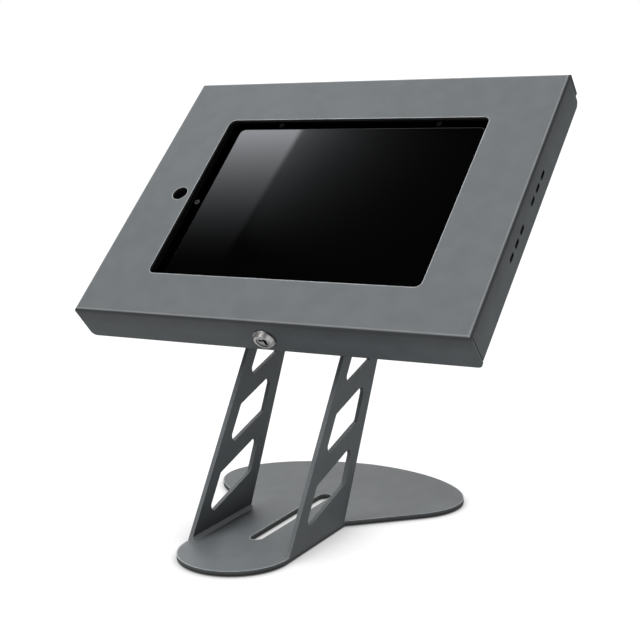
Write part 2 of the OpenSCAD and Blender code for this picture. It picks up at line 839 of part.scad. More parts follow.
module hinge_pin() {
    color(nickel) on_hinge() translate([-hinge_len / 2, 0, 0]) rotate([0, 90, 0])
        cylinder(d = hinge_pin_d, h = hinge_len);
}

module cover_leaf_rivets() {
    color(steel_grey) on_face()
        for (u = cover_rivet_places()) translate([u, cover_h - cover_t - leaf_t, -rivet_row_d])
            rotate([-90, 0, 0]) rivet(rivet_d, cover_t + leaf_t);
}

module tray_leaf_rivets() {
    color(nickel) on_face()
        for (u = tray_rivet_places()) translate([u, tray_top - tray_t, -rivet_row_d])
            rotate([-90, 0, 0]) rivet(rivet_d, tray_t + leaf_t);
}

// Lock

// Conical head, plain barrel and a bore for the plug
module lock_body() {
    color(nickel) on_lock() difference() {
        union() {
            translate([0, 0, -lock_flange_t]) cylinder(d = lock_head_d, h = lock_flange_t);
            translate([0, 0, -lock_head_h])
                cylinder(d1 = lock_rim_d, d2 = lock_head_d - 2 * lock_step, h = lock_head_h - lock_flange_t);
            cylinder(d = lock_barrel_d, h = lock_barrel_len);
        }
        translate([0, 0, -lock_head_h - over])
            cylinder(d = plug_d + 2 * run_gap, h = lock_head_h + lock_barrel_len + 2 * over);
    }
}

module lock_washer() {
    color(nickel) on_lock() translate([0, 0, cover_t])
        ring(lock_washer_d, lock_barrel_d + 2 * hole_gap, lock_washer_t);
}

module lock_nut() {
    color(nickel) on_lock() translate([0, 0, cover_t + lock_washer_t]) difference() {
        cylinder(d = nut_af / cos(30), h = nut_t, $fn = 6);
        translate([0, 0, -over]) cylinder(d = lock_barrel_d + 2 * run_gap, h = nut_t + 2 * over);
    }
}

// Plug with a keyway and a square tail for the cam
module lock_plug() {
    front = -lock_head_h + plug_recess;
    color(nickel) on_lock() difference() {
        union() {
            translate([0, 0, front]) cylinder(d = plug_d, h = cam_z - front);
            translate([0, 0, cam_z - over]) linear_extrude(cam_t + over) square(tail_w, center = true);
        }
        translate([0, 0, front - over]) linear_extrude(key_depth + over) keyway();
        translate([0, 0, cam_z + cam_t - cam_screw_len - over])
            cylinder(d = cam_screw_d + 2 * run_gap, h = cam_screw_len + 2 * over);
    }
}

// Keyway: a slot beside the axis, with a narrow arm to a square pin hole
module keyway() {
    translate([key_side, 0]) square([key_w, key_len], center = true);
    translate([-key_side, -key_len / 4 - key_arm_w / 2]) square([2 * key_side, key_arm_w]);
    translate([-key_side, -key_len / 4]) square(key_w, center = true);
}

// Cam: rests pointing to the rear, turns a quarter turn behind the keeper
module lock_cam() {
    color(nickel) on_lock() translate([0, 0, cam_z]) linear_extrude(cam_t) difference() {
        union() {
            circle(d = cam_hub_d);
            translate([-cam_w / 2, 0]) square([cam_w, cam_reach - cam_w / 2]);
            translate([0, cam_reach - cam_w / 2]) circle(d = cam_w);
        }
        square(tail_w + 2 * run_gap, center = true);
    }
}

module cam_screw() {
    color(nickel) on_lock() translate([0, 0, cam_z + cam_t]) difference() {
        union() {
            cylinder(d1 = cam_head_d, d2 = 0.7 * cam_head_d, h = cam_head_h);
            translate([0, 0, -cam_screw_len]) cylinder(d = cam_screw_d, h = cam_screw_len + cam_head_h / 2);
        }
        translate([0, 0, cam_head_h / 2]) linear_extrude(cam_head_h) {
            square([0.6 * cam_head_d, cam_recess_w], center = true);
            square([cam_recess_w, 0.6 * cam_head_d], center = true);
        }
    }
}

// Tablet

// Frame on the middle of the tablet's glass, z out of the glass
module on_tablet() {
    on_face() translate([0, window_mid, -glass_d]) children();
}

// Back shell with a shallow bed for the display and the glass, and pockets for the buttons
module tablet_shell() {
    bed = glass_t + display_t;
    color("#2b2d30") on_tablet() difference() {
        union() {
            translate([0, 0, -tablet_t + shell_chamfer]) linear_extrude(tablet_t - shell_chamfer)
                round_rect(tablet_w, tablet_h, tablet_r);
            hull() {
                translate([0, 0, -tablet_t + shell_chamfer]) linear_extrude(shell_layer)
                    round_rect(tablet_w, tablet_h, tablet_r, $fn = 32);
                translate([0, 0, -tablet_t]) linear_extrude(shell_layer) round_rect(
                    tablet_w - 2 * shell_chamfer,
                    tablet_h - 2 * shell_chamfer,
                    tablet_r - shell_chamfer,
                    $fn = 32
                );
            }
        }
        translate([0, 0, -glass_t]) linear_extrude(glass_t + over)
            round_rect(tablet_w - 2 * shell_wall, tablet_h - 2 * shell_wall, tablet_r - shell_wall);
        translate([0, 0, -bed]) linear_extrude(bed + over) round_rect(display_w, display_h, display_r);
        translate([-lens_u, 0, -bed]) cylinder(d = lens_d + 2 * hole_gap, h = bed);
        at_power() button_pocket(power_len);
        at_volume() button_pocket(volume_len);
    }
}

// Button frames: z out of the tablet's edge, x along the button
module at_power() {
    translate([-tablet_w / 2, power_v, -tablet_t / 2]) rotate([90, 0, -90]) children();
}

module at_volume() {
    translate([-volume_u, tablet_h / 2, -tablet_t / 2]) rotate([90, 0, 180]) children();
}

// Room for a button and its travel
module button_pocket(length) {
    depth = button_body + 2 * button_travel;
    translate([0, 0, -depth]) linear_extrude(depth + over)
        round_slot(length + 2 * hole_gap, button_w + 2 * hole_gap);
}

// Button that stands a little proud of the edge
module button(length) {
    translate([0, 0, -button_body]) linear_extrude(button_body + button_proud) round_slot(length, button_w);
}

module tablet_glass() {
    inset = shell_wall + foam_gap / 2;
    color(glass_black) on_tablet() difference() {
        translate([0, 0, -glass_t]) linear_extrude(glass_t)
            round_rect(tablet_w - 2 * inset, tablet_h - 2 * inset, tablet_r - inset);
        translate([-lens_u, 0, -glass_t - over]) cylinder(d = lens_d + 2 * hole_gap, h = glass_t + 2 * over);
    }
}

module tablet_display() {
    color("#16181c") on_tablet() translate([0, 0, -glass_t - display_t])
        linear_extrude(display_t)
            round_rect(display_w - foam_gap, display_h - foam_gap, display_r - foam_gap / 2);
}

module camera_lens() {
    color("#1d2230") on_tablet() translate([-lens_u, 0, -glass_t - display_t])
        cylinder(d = lens_d, h = glass_t + display_t);
}

module power_button() {
    color("#3a3c40") on_tablet() at_power() button(power_len);
}

module volume_button() {
    color("#3a3c40") on_tablet() at_volume() button(volume_len);
}

stand_frame();
foot_pads();
mount_screws();
mount_washers();
mount_nuts();
rear_tray();
corner_foam();
back_foam();
cable_grommet();
lock_keeper();
keeper_rivets();
front_cover();
window_gasket();
cover_hinge_leaf();
tray_hinge_leaf();
hinge_pin();
cover_leaf_rivets();
tray_leaf_rivets();
lock_body();
lock_washer();
lock_nut();
lock_plug();
lock_cam();
cam_screw();
tablet_shell();
tablet_glass();
tablet_display();
camera_lens();
power_button();
volume_button();
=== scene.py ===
import math

import bpy
from mathutils import Matrix, Vector


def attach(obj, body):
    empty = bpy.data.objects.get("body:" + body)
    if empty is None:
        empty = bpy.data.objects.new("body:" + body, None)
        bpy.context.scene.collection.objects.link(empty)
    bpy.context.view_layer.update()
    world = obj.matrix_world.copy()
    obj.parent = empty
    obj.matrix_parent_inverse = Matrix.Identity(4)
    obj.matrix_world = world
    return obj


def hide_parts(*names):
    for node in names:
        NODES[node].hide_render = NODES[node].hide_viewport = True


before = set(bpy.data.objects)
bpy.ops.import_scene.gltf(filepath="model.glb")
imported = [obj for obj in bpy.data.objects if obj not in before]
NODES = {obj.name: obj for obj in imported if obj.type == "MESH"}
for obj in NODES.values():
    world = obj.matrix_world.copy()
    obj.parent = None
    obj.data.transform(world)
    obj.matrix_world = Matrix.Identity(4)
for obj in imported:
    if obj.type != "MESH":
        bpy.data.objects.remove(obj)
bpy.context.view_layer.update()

# Looks of the tablet kiosk stand. Lengths are in metres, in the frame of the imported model,
# apart from the sizes that are said to be in mm.

MM = 0.001

# Face of the enclosure: x across, y up the face from its bottom edge, z out of the face
FACE_PLACE = Vector((0.0, -0.0572333, 0.146))
FACE_SLOPE = math.radians(40)
FACE = Matrix.Translation(FACE_PLACE) @ Matrix.Rotation(FACE_SLOPE, 4, "X")
FACE_OUT = FACE.to_3x3().col[2]

# Sizes that repeat those of the source, in mm. A size that ends in D is a depth behind the face
COVER = (302.0, 228.0)
WINDOW_MID = 111.5
SLOTS_D = 13.2
LOCK_D = 16.5
TABLET = (220.0, 170.0)
TABLET_BACK_D = 16.2
TRAY_FLOOR_D = 27.8
GLASS_D = 9.0
GLASS_T = 0.8
GLASS_INSET = 1.1
GLASS_R = 8.9
DISPLAY = (199.0, 148.0)
DISPLAY_R = 4.0
LENS_U = (TABLET[0] + DISPLAY[0]) / 4
LENS_HOLE_DIAMETER = 4.4
# Rectangles of the keyway: middle across, middle above the plug's axis, width, height
KEYWAY = ((1.9, 0.0, 1.4, 5.2), (0.0, 1.3, 2.4, 0.8), (-1.9, 1.3, 1.4, 1.4))

# Printed sensor spots of the tablet, in mm
SENSORS_U = (-66.0, 63.0)
SENSORS_V = 190.1

# Soft pieces, in mm. A rectangle is its width, height and corner radius
GASKET_OUTSIDE = (250.0, 189.7, 24.5)
GASKET_OPENING = (214.0, 160.0, 6.5)
GASKET_HOLE_U = -115.3
GASKET_HOLE_DIAMETER = 12.0
GASKET_FRONT_D = 2.0
GASKET_BACK_D = 8.6
GASKET_SOFT = 0.7
BLOCK_LAP_U = 76.0
BLOCK_INNER_U = 110.2
BLOCK_OUTER_U = 146.0
# Heights of the lower and the upper corner blocks: outer edge, inner edge, end beside the tablet
BLOCK_LOW_V = (5.7, 26.3, 60.5)
BLOCK_HIGH_V = (218.5, 196.7, 162.5)
PAD = (30.0, 30.0, 4.0)
PAD_OFF_U = 81.0
PAD_OFF_V = 56.0
FOAM_SOFT = 1.0
GLASS_SOFT = 0.05

# Tones of the powder coat
COAT_DARK = (0.129, 0.143, 0.151, 1)
COAT_LIGHT = (0.148, 0.165, 0.173, 1)
COAT_FLECK = (0.25, 0.263, 0.273, 1)
COAT_SPECULAR = 0.42

# Camera of the photograph
CAMERA_PLACE = FACE_PLACE + Vector((0.477842, -0.724185, 0.175683))
CAMERA_AZIMUTH = 0.5362
CAMERA_ELEVATION = 0.1996
CAMERA_ROLL = -0.0467
FOCAL_PIXELS = 1372.2
IMAGE_PIXELS = 640
SENSOR_MM = 36.0
IMAGE_CENTRE = (318.2, 318.8)

# Studio: the floor's glow in closed places, where a contact shadow is painted, and in open places, the
# painted shadow's reach, and the sky's strength below and above
FLOOR_SIZE = 60.0
FLOOR_PAINTED_SHADOW = 0.03
FLOOR_GLOW = 1.12
PAINTED_SHADOW_REACH = 0.06
SKY_LIGHT = (0.41, 0.46)
SKY_MIRRORED = (0.45, 0.09)
SKY_BLEND = 0.2
# Wide lights: direction towards the light, spread in degrees, strength
SUNS = {
    "key": ((-0.22, -0.42, 0.88), 40.0, 1.4),
    "rear_fill": ((-0.5, 0.58, 0.64), 60.0, 1.35),
    "side_fill": ((0.85, -0.45, 0.2), 40.0, 0.14),
}

# Card that the screen mirrors: a bright window, cut off along a slanting edge, beside a dim wall
GLARE_PLACE = FACE_PLACE + Vector((-0.6941, 0.158776, 1.1856))
GLARE_ACROSS = Vector((-0.7722, 0.4084, -0.4868))
GLARE_ALONG = Vector((0.3708, 0.9117, 0.1768))
GLARE_CARD = (0.46, 0.54)
GLARE_SHIFT = -0.04
GLARE_TINT = (0.968, 1.0, 1.048, 1)
GLARE_SLANT = 0.5
GLARE_EDGE = (0.046, 0.054)
GLARE_EDGE_LEAN = 0.085
GLARE_WINDOW = 4.85
GLARE_WINDOW_RISE = (-0.165, 0.106)
GLARE_WINDOW_POWER = 3.0
GLARE_WALL = 0.65
GLARE_WALL_RISE = (-0.13, 0.11)
GLARE_WALL_POWER = 1.5
GLARE_WALL_FADE = 0.053
GLARE_WALL_MOST = 2.0


# Node helpers

def new_material(name):
    """A material with its node tree and its main shader."""
    material = bpy.data.materials.new(name)
    material.use_nodes = True
    tree = material.node_tree
    return material, tree, tree.nodes["Principled BSDF"]


def add_node(tree, kind, inputs=None, **settings):
    """A shader node with settings on the node and values or links on its inputs."""
    node = tree.nodes.new("ShaderNode" + kind)
    for key, value in settings.items():
        setattr(node, key, value)
    for key, value in (inputs or {}).items():
        feed(tree, node.inputs[key], value)
    return node


def feed(tree, socket, value):
    """Link an output to a socket, or set the socket's own value."""
    if isinstance(value, bpy.types.NodeSocket):
        tree.links.new(value, socket)
    else:
        socket.default_value = value


def object_place(tree):
    """Coordinates that stay with the piece."""
    return add_node(tree, "TexCoord").outputs["Object"]


def face_place(tree):
    """Coordinates in the frame of the enclosure's face."""
    inputs = {"Vector": object_place(tree), "Location": FACE_PLACE, "Rotation": (FACE_SLOPE, 0, 0)}
    return add_node(tree, "Mapping", inputs, vector_type="TEXTURE").outputs["Vector"]


def stretched_place(tree, scale):
    """Coordinates of the piece with a scale for each axis."""
    return add_node(tree, "Mapping", {"Vector": object_place(tree), "Scale": scale}).outputs["Vector"]


def flat_normal(tree):
    """Normal of the surface, turning with the piece."""
    return add_node(tree, "TexCoord").outputs["Normal"]


def parts_of(tree, vector):
    """The X, Y and Z outputs of a vector."""
    return add_node(tree, "SeparateXYZ", {"Vector": vector}).outputs


def along(tree, vector, direction):
    """Share of a vector that points in a direction."""
    node = add_node(tree, "VectorMath", {0: vector, 1: direction}, operation="DOT_PRODUCT")
    return node.outputs["Value"]


def distance(tree, place, point):
    """Distance from a point."""
    node = add_node(tree, "VectorMath", {0: place, 1: point}, operation="DISTANCE")
    return node.outputs["Value"]


def noise(tree, place, scale, detail=2.0, roughness=0.5):
    """Cloudy values from nought to one."""
    inputs = {"Vector": place, "Scale": scale, "Detail": detail, "Roughness": roughness}
    return add_node(tree, "TexNoise", inputs).outputs["Fac"]


def spread(tree, value, low, high, to_low, to_high):
    """Map a value from one range to another, clamped."""
    inputs = {"Value": value, "From Min": low, "From Max": high, "To Min": to_low, "To Max": to_high}
    return add_node(tree, "MapRange", inputs).outputs["Result"]


def rise(tree, value, low, high):
    """Nought up to a low value, one from a high value on."""
    return spread(tree, value, low, high, 0.0, 1.0)


def fall(tree, value, low, high):
    """One up to a low value, nought from a high value on."""
    return spread(tree, value, low, high, 1.0, 0.0)


def math_node(tree, operation, a, b=0.0):
    """One step of arithmetic."""
    return add_node(tree, "Math", {0: a, 1: b}, operation=operation).outputs["Value"]


def times(tree, a, b):
    """Product, which is also where two masks overlap."""
    return math_node(tree, "MULTIPLY", a, b)


def most(tree, a, b):
    """The larger value, which is also either of two masks."""
    return math_node(tree, "MAXIMUM", a, b)


def plus(tree, a, b):
    """Sum."""
    return math_node(tree, "ADD", a, b)


def minus(tree, a, b):
    """Difference."""
    return math_node(tree, "SUBTRACT", a, b)


def away(tree, value, middle=0.0):
    """How far a value is from a middle."""
    return math_node(tree, "ABSOLUTE", minus(tree, value, middle))


def mix_colour(tree, share, a, b):
    """Blend from colour a to colour b."""
    node = add_node(tree, "Mix", {0: share, 6: a, 7: b}, data_type="RGBA")
    return node.outputs[2]


def open_sky(tree, reach, samples=8, own=False):
    """One in the open, less in corners, by what lies within reach or by the piece's own shape only."""
    node = add_node(tree, "AmbientOcclusion", {"Distance": reach}, samples=samples, only_local=own)
    return node.outputs["AO"]


def round_edges(tree, radius):
    """Normal of an edge rounded over a radius."""
    return add_node(tree, "Bevel", {"Radius": radius}, samples=6).outputs["Normal"]


def edge_mask(tree, radius, low, high):
    """One along edges, nought on flat places."""
    normal = add_node(tree, "NewGeometry").outputs["Normal"]
    return fall(tree, along(tree, normal, round_edges(tree, radius)), low, high)


def bump(tree, height, strength, depth, normal=None):
    """Normal of a surface with fine relief."""
    inputs = {"Height": height, "Strength": strength, "Distance": depth}
    if normal is not None:
        inputs["Normal"] = normal
    return add_node(tree, "Bump", inputs).outputs["Normal"]


def grey(level, cool=0.0):
    """A grey that leans to blue by a small share."""
    return (level * (1 - cool), level, level * (1 + cool), 1.0)


# Materials

def base_coat(name, edge_round):
    """Satin powder coat: orange peel, faint mottle and flecks. Gives its tone before wear, painted
    highlights and painted shade.
    """
    material, tree, shader = new_material(name)
    place = object_place(tree)
    clouds = noise(tree, place, scale=11.0, detail=3.0)
    mottle = noise(tree, place, scale=70.0, detail=2.0)
    flecks = noise(tree, place, scale=2600.0, detail=1.0)
    peel = noise(tree, place, scale=900.0, detail=3.0, roughness=0.6)
    cloud_share = spread(tree, clouds, 0.3, 0.7, 0.0, 0.25)
    mottle_share = spread(tree, mottle, 0.35, 0.65, 0.0, 0.75)
    tone = mix_colour(tree, plus(tree, cloud_share, mottle_share), COAT_DARK, COAT_LIGHT)
    tone = mix_colour(tree, spread(tree, flecks, 0.62, 0.75, 0.0, 0.22), tone, COAT_FLECK)
    relief = bump(tree, peel, strength=0.16, depth=0.08 * MM, normal=round_edges(tree, edge_round))
    feed(tree, shader.inputs["Roughness"], spread(tree, clouds, 0.25, 0.75, 0.46, 0.56))
    feed(tree, shader.inputs["Normal"], relief)
    shader.inputs["Specular IOR Level"].default_value = COAT_SPECULAR
    return material, tree, shader, tone


def patches(tree, mask):
    """A mask broken up into patches, used for worn edges and for painted highlights."""
    breaks = spread(tree, noise(tree, object_place(tree), scale=60.0, detail=4.0), 0.3, 0.6, 0.6, 1.0)
    return times(tree, mask, breaks)


def powder_coat():
    """Coat of stand and tray: edges lighter from wear and a painted highlight, painted highlights on the
    base's rim and weld bands, painted shade in corners, near the floor and low down.
    """
    material, tree, shader, tone = base_coat("powder_coat", edge_round=0.4 * MM)
    height = parts_of(tree, object_place(tree))["Z"]
    upward = parts_of(tree, flat_normal(tree))["Z"]
    on_base = fall(tree, height, 6.0 * MM, 8.0 * MM)

    # Edges lighter: partly worn paint, partly a painted highlight.
    lighter_edges = patches(tree, edge_mask(tree, 0.7 * MM, 0.88, 0.985))
    tone = mix_colour(tree, lighter_edges, tone, grey(0.3, 0.03))
    base_top = times(tree, on_base, rise(tree, upward, 0.8, 0.95))
    # Painted highlight along the top edge of the base's rim.
    rim = times(tree, edge_mask(tree, 2.0 * MM, 0.88, 0.985), base_top)
    tone = mix_colour(tree, rim, tone, grey(0.56, 0.03))
    sloping = times(tree, rise(tree, upward, 0.5, 0.6), fall(tree, upward, 0.8, 0.9))
    # Painted highlight on the sloping weld bands low on the base.
    painted_weld_highlight = times(tree, sloping, on_base)
    tone = mix_colour(tree, painted_weld_highlight, tone, grey(0.2, 0.03))

    # Painted shade in the piece's own corners and near the floor.
    own_corner_shade = fall(tree, open_sky(tree, 55.0 * MM, own=True), 0.5, 0.95)
    own_corner_shade = math_node(tree, "POWER", own_corner_shade, 2.0)
    on_feet = spread(tree, height, 60.0 * MM, 90.0 * MM, 0.35, 0.0)
    floor_contact_shade = times(tree, fall(tree, open_sky(tree, 70.0 * MM), 0.5, 0.95), on_feet)
    painted_corner_shade = times(tree, most(tree, own_corner_shade, floor_contact_shade), 0.8)
    tone = mix_colour(tree, painted_corner_shade, tone, grey(0.01))
    # Painted shade low down, by the floor.
    painted_low_shade = spread(tree, height, 1.4 * MM, 3.6 * MM, 0.92, 0.0)
    feed(tree, shader.inputs["Base Color"], mix_colour(tree, painted_low_shade, tone, grey(0.01)))
    return material


def cover_coat():
    """Coat of the cover: painted highlights on the cut edges in its face and on the bends, painted shade
    on the flanges behind the bends, on the window's cut walls and in hollows, and slots painted black as
    shade.
    """
    material, tree, shader, tone = base_coat("cover_coat", edge_round=0.2 * MM)
    across, up, depth = parts_of(tree, face_place(tree))
    normal = flat_normal(tree)
    facing = along(tree, normal, FACE_OUT)
    half_width, half_height = COVER[0] / 2, COVER[1] / 2
    from_middle = away(tree, up, half_height * MM)

    on_face = rise(tree, depth, -0.5 * MM, -0.2 * MM)
    in_sheet = rise(tree, depth, -2.0 * MM, -1.8 * MM)
    beside = rise(tree, away(tree, across), (half_width - 3.0) * MM, (half_width - 2.0) * MM)
    at_ends = rise(tree, from_middle, (half_height - 3.0) * MM, (half_height - 2.0) * MM)
    outside = most(tree, beside, at_ends)
    on_flange = times(tree, outside, fall(tree, depth, -0.7 * MM, -0.4 * MM))

    # Painted shade on the flanges, deepest at the bends.
    painted_flange_shade = times(tree, on_flange, spread(tree, depth, -16.0 * MM, -1.0 * MM, 0.0, 0.36))
    tone = mix_colour(tree, painted_flange_shade, tone, grey(0.02))
    # Painted shade in a narrow band on the flanges just past the bends.
    painted_shade_past_bend = times(tree, on_flange, spread(tree, depth, -4.0 * MM, -1.0 * MM, 0.0, 0.5))
    tone = mix_colour(tree, painted_shade_past_bend, tone, grey(0.02))
    # Painted highlight along the bends between face and flanges.
    painted_bend_highlight = times(tree, rise(tree, facing, 0.75, 0.9), fall(tree, facing, 0.97, 0.995))
    tone = mix_colour(tree, patches(tree, painted_bend_highlight), tone, grey(0.3, 0.03))
    # Painted shade on the window's cut walls inside the sheet.
    wall = times(tree, fall(tree, facing, 0.08, 0.18), in_sheet)
    wall = times(tree, wall, minus(tree, 1.0, outside))
    tone = mix_colour(tree, wall, tone, grey(0.03))
    # Painted highlight along the cut edges in the face, broken into patches.
    painted_cut_highlight = times(tree, edge_mask(tree, 1.0 * MM, 0.9, 0.985), on_face)
    tone = mix_colour(tree, patches(tree, painted_cut_highlight), tone, grey(0.95, 0.03))

    # Painted shade in hollows and slots: black, and made metallic so that they hardly reflect.
    painted_hollow_shade = fall(tree, open_sky(tree, 6.0 * MM, own=True), 0.5, 0.85)
    slot_band = times(tree, beside, fall(tree, away(tree, depth, -SLOTS_D * MM), 2.0 * MM, 2.4 * MM))
    slot_band = times(tree, slot_band, fall(tree, from_middle, 90.0 * MM, 95.0 * MM))
    slot_wall = fall(tree, away(tree, parts_of(tree, normal)["X"]), 0.3, 0.6)
    painted_slot_shade = most(tree, edge_mask(tree, 2.0 * MM, 0.9, 0.985), slot_wall)
    painted_hollow_shade = most(tree, painted_hollow_shade, times(tree, slot_band, painted_slot_shade))
    feed(tree, shader.inputs["Metallic"], painted_hollow_shade)
    feed(tree, shader.inputs["Base Color"], mix_colour(tree, painted_hollow_shade, tone, grey(0.0015)))
    return material


def plated_steel():
    """Zinc plated steel: soft streaks and slight stains."""
    material, tree, shader = new_material("plated_steel")
    streaks = noise(tree, stretched_place(tree, (40.0, 900.0, 900.0)), scale=1.0, detail=3.0)
    stains = noise(tree, object_place(tree), scale=120.0, detail=3.0)
    tone = mix_colour(tree, stains, grey(0.46, 0.01), grey(0.60, -0.01))
    relief = bump(tree, streaks, strength=0.1, depth=0.03 * MM, normal=round_edges(tree, 0.25 * MM))
    feed(tree, shader.inputs["Base Color"], tone)
    feed(tree, shader.inputs["Roughness"], spread(tree, streaks, 0.3, 0.7, 0.26, 0.42))
    feed(tree, shader.inputs["Normal"], relief)
    shader.inputs["Metallic"].default_value = 1.0
    return material


def painted_keyway_shade(tree, sky, front):
    """Painted shade: one in the keyway, behind the plug's front and on a narrow lip around each of its
    rectangles.
    """
    across, back, depth = parts_of(tree, face_place(tree))
    mask = fall(tree, sky, 0.2, 0.5)
    mask = most(tree, mask, rise(tree, back, front + 0.15 * MM, front + 0.3 * MM))
    for middle_u, middle_w, width, height in KEYWAY:
        past_u = minus(tree, away(tree, across, middle_u * MM), width / 2 * MM)
        past_w = minus(tree, away(tree, depth, (middle_w - LOCK_D) * MM), height / 2 * MM)
        painted_lip_shade = fall(tree, most(tree, past_u, past_w), 0.35 * MM, 0.45 * MM)
        mask = most(tree, mask, painted_lip_shade)
    return mask


def bright_nickel(name, keyway_front=None):
    """Bright nickel of the lock: hairline scratches, rubbed edges, painted shade in hollows, and the
    plug's keyway painted black as shade with a lip around it.
    """
    material, tree, shader = new_material(name)
    haze = noise(tree, object_place(tree), scale=300.0, detail=3.0)
    scratches = noise(tree, stretched_place(tree, (2400.0, 260.0, 260.0)), scale=1.0, detail=2.0)
    lighter_edges = edge_mask(tree, 0.4 * MM, 0.7, 0.98)
    tone = mix_colour(tree, lighter_edges, grey(0.92, -0.01), grey(0.98, -0.01))
    # Painted shade in hollows, and in the plug over the keyway and a lip around it.
    sky = open_sky(tree, 2.5 * MM)
    if keyway_front is None:
        painted_hollow_shade = fall(tree, sky, 0.55, 0.9)
    else:
        painted_hollow_shade = painted_keyway_shade(tree, sky, keyway_front)
    relief = bump(tree, scratches, strength=0.03, depth=0.02 * MM, normal=round_edges(tree, 0.3 * MM))
    feed(tree, shader.inputs["Base Color"], mix_colour(tree, painted_hollow_shade, tone, grey(0.01)))
    feed(tree, shader.inputs["Roughness"], spread(tree, haze, 0.3, 0.7, 0.3, 0.4))
    feed(tree, shader.inputs["Normal"], relief)
    shader.inputs["Metallic"].default_value = 1.0
    return material


def dull_rubber():
    """Black rubber with a dusty bloom."""
    material, tree, shader = new_material("dull_rubber")
    place = object_place(tree)
    bloom = noise(tree, place, scale=90.0, detail=4.0)
    grain = noise(tree, place, scale=1800.0, detail=2.0)
    relief = bump(tree, grain, strength=0.25, depth=0.06 * MM, normal=round_edges(tree, 0.4 * MM))
    feed(tree, shader.inputs["Base Color"], mix_colour(tree, bloom, grey(0.012), grey(0.028)))
    feed(tree, shader.inputs["Roughness"], spread(tree, bloom, 0.3, 0.7, 0.62, 0.8))
    feed(tree, shader.inputs["Normal"], relief)
    return material


def cell_foam():
    """Black closed-cell foam: open pores on its cut faces."""
    material, tree, shader = new_material("cell_foam")
    place = object_place(tree)
    cells = add_node(tree, "TexVoronoi", {"Vector": place, "Scale": 1300.0}).outputs["Distance"]
    pores = rise(tree, cells, 0.1, 0.45)
    clouds = noise(tree, place, scale=70.0)
    feed(tree, shader.inputs["Base Color"], mix_colour(tree, pores, grey(0.0015), grey(0.006)))
    feed(tree, shader.inputs["Roughness"], spread(tree, clouds, 0.3, 0.7, 0.85, 0.95))
    feed(tree, shader.inputs["Normal"], bump(tree, pores, strength=0.5, depth=0.2 * MM))
    shader.inputs["Specular IOR Level"].default_value = 0.15
    return material


def anodised_shell():
    """Bead-blasted dark anodised aluminium."""
    material, tree, shader = new_material("anodised_shell")
    place = object_place(tree)
    beads = noise(tree, place, scale=3200.0, detail=1.0)
    clouds = noise(tree, place, scale=20.0, detail=2.0)
    lighter_edges = edge_mask(tree, 0.4 * MM, 0.72, 0.98)
    tone = mix_colour(tree, clouds, grey(0.10, 0.02), grey(0.125, 0.02))
    relief = bump(tree, beads, strength=0.12, depth=0.02 * MM, normal=round_edges(tree, 0.3 * MM))
    feed(tree, shader.inputs["Base Color"], mix_colour(tree, lighter_edges, tone, grey(0.22, 0.02)))
    feed(tree, shader.inputs["Roughness"], spread(tree, beads, 0.3, 0.7, 0.34, 0.44))
    feed(tree, shader.inputs["Normal"], relief)
    shader.inputs["Metallic"].default_value = 1.0
    return material


def screen_glass():
    """Polished glass over the dark display, with faint finger smears."""
    material, tree, shader = new_material("screen_glass")
    place = object_place(tree)
    smears = noise(tree, place, scale=26.0, detail=5.0, roughness=0.6)
    grain = noise(tree, place, scale=4200.0, detail=1.0)
    tone = mix_colour(tree, grain, grey(0.0012, 0.05), grey(0.0018, 0.05))
    feed(tree, shader.inputs["Base Color"], tone)
    feed(tree, shader.inputs["Roughness"], spread(tree, smears, 0.45, 0.75, 0.02, 0.045))
    shader.inputs["Specular IOR Level"].default_value = 0.4
    return material


def painted_display_highlight(tree, place):
    """Painted highlight: one on a thin line along the upper edge of the display and around its upper
    corners.
    """
    across, up, _ = parts_of(tree, place)
    past_u = minus(tree, away(tree, across), (DISPLAY[0] / 2 - DISPLAY_R) * MM)
    past_v = minus(tree, away(tree, up, WINDOW_MID * MM), (DISPLAY[1] / 2 - DISPLAY_R) * MM)
    past = {"X": most(tree, past_u, 0.0), "Y": most(tree, past_v, 0.0)}
    reach = distance(tree, add_node(tree, "CombineXYZ", past).outputs["Vector"], (0, 0, 0))
    line = fall(tree, reach, (DISPLAY_R + 0.35) * MM, (DISPLAY_R + 0.5) * MM)
    upper = rise(tree, up, (WINDOW_MID + 50.0) * MM, (WINDOW_MID + 70.0) * MM)
    return times(tree, line, upper)


def printed_border():
    """Black print behind the glass border: two faint sensor spots, and a thin painted highlight line by
    the display.
    """
    material, tree, shader = new_material("printed_border")
    place = face_place(tree)
    dust = noise(tree, place, scale=700.0, detail=3.0)
    black = mix_colour(tree, rise(tree, dust, 0.6, 0.8), grey(0.0002), grey(0.0008))
    for sensor_u in SENSORS_U:
        reach = distance(tree, place, (sensor_u * MM, SENSORS_V * MM, -GLASS_D * MM))
        black = mix_colour(tree, fall(tree, reach, 1.6 * MM, 2.6 * MM), black, grey(0.05))
    # Painted highlight along the display's upper edge.
    black = mix_colour(tree, painted_display_highlight(tree, place), black, grey(0.1))
    feed(tree, shader.inputs["Base Color"], black)
    feed(tree, shader.inputs["Roughness"], spread(tree, dust, 0.3, 0.7, 0.28, 0.36))
    shader.inputs["Specular IOR Level"].default_value = 0.0
    return material


def dark_display():
    """Display panel under the glass, switched off."""
    material, tree, shader = new_material("dark_display")
    grain = noise(tree, object_place(tree), scale=5000.0, detail=1.0)
    feed(tree, shader.inputs["Base Color"], mix_colour(tree, grain, grey(0.004, 0.1), grey(0.008, 0.1)))
    feed(tree, shader.inputs["Roughness"], spread(tree, grain, 0.3, 0.7, 0.2, 0.3))
    return material


